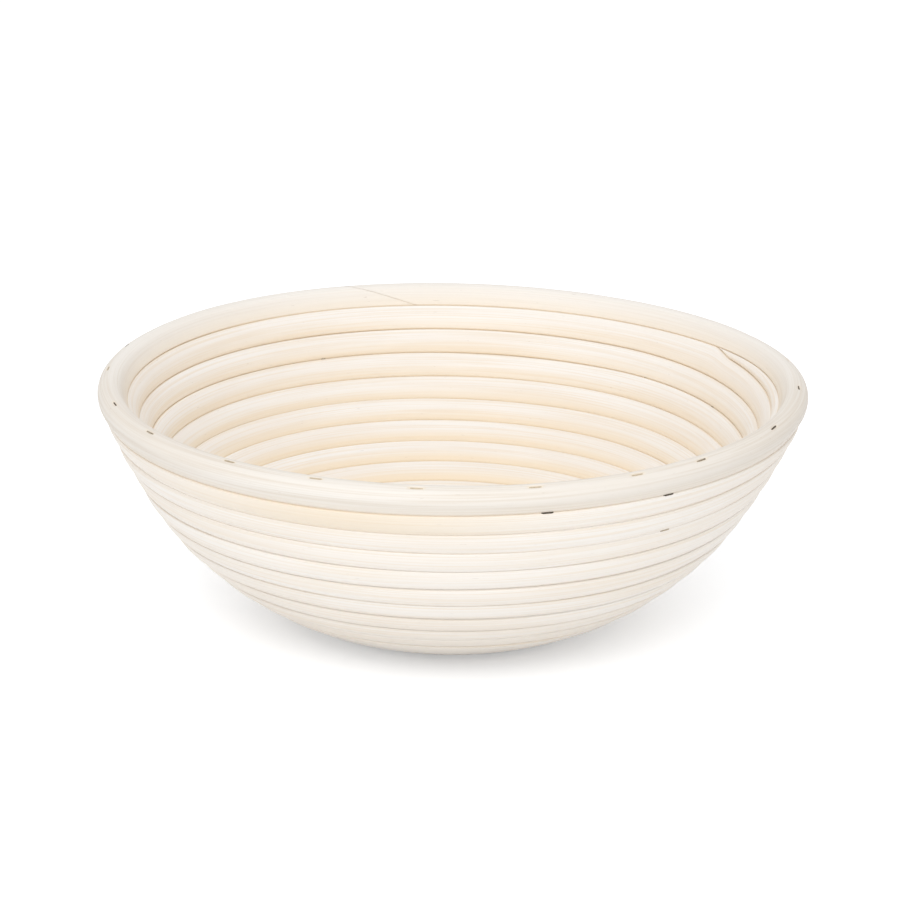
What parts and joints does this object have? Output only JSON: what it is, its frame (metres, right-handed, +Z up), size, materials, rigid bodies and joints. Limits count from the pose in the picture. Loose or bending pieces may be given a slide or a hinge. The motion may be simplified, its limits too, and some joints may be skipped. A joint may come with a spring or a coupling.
{
  "type": "round proofing basket",
  "caption": "Round bread proofing basket wound as a spiral of pale rattan cane, with a stapled rim hoop closed by a scarf joint and a flat sanded base.",
  "frame": {"origin": "on the table plane, under the centre of the round base", "axes": "+Z up along the bowl's axis; -Y towards the viewer of the picture, +X to the viewer's right"},
  "size_m": [0.25, 0.25, 0.0877],
  "materials": {
    "cane": "bare bleached rattan core, fine lengthwise grain, satin",
    "rim_cane": "bare bleached rattan core, bent and scarf-jointed, satin",
    "staple_wire": "dull galvanised wire, slightly tarnished"
  },
  "bodies": {
    "root": {"base_cane": "cane", "wall_cane": "cane", "rim_hoop": "rim_cane", "rim_staple_01": "staple_wire", "rim_staple_02": "staple_wire", "rim_staple_03": "staple_wire", "rim_staple_04": "staple_wire", "rim_staple_05": "staple_wire", "rim_staple_06": "staple_wire", "rim_staple_07": "staple_wire", "rim_staple_08": "staple_wire", "rim_staple_09": "staple_wire", "rim_staple_10": "staple_wire", "rim_staple_11": "staple_wire", "rim_staple_12": "staple_wire", "rim_staple_13": "staple_wire", "rim_staple_14": "staple_wire", "rim_staple_15": "staple_wire", "rim_staple_16": "staple_wire", "rim_staple_17": "staple_wire", "rim_staple_18": "staple_wire", "rim_staple_19": "staple_wire", "rim_staple_20": "staple_wire", "rim_staple_21": "staple_wire"}
  },
  "joints": []
}
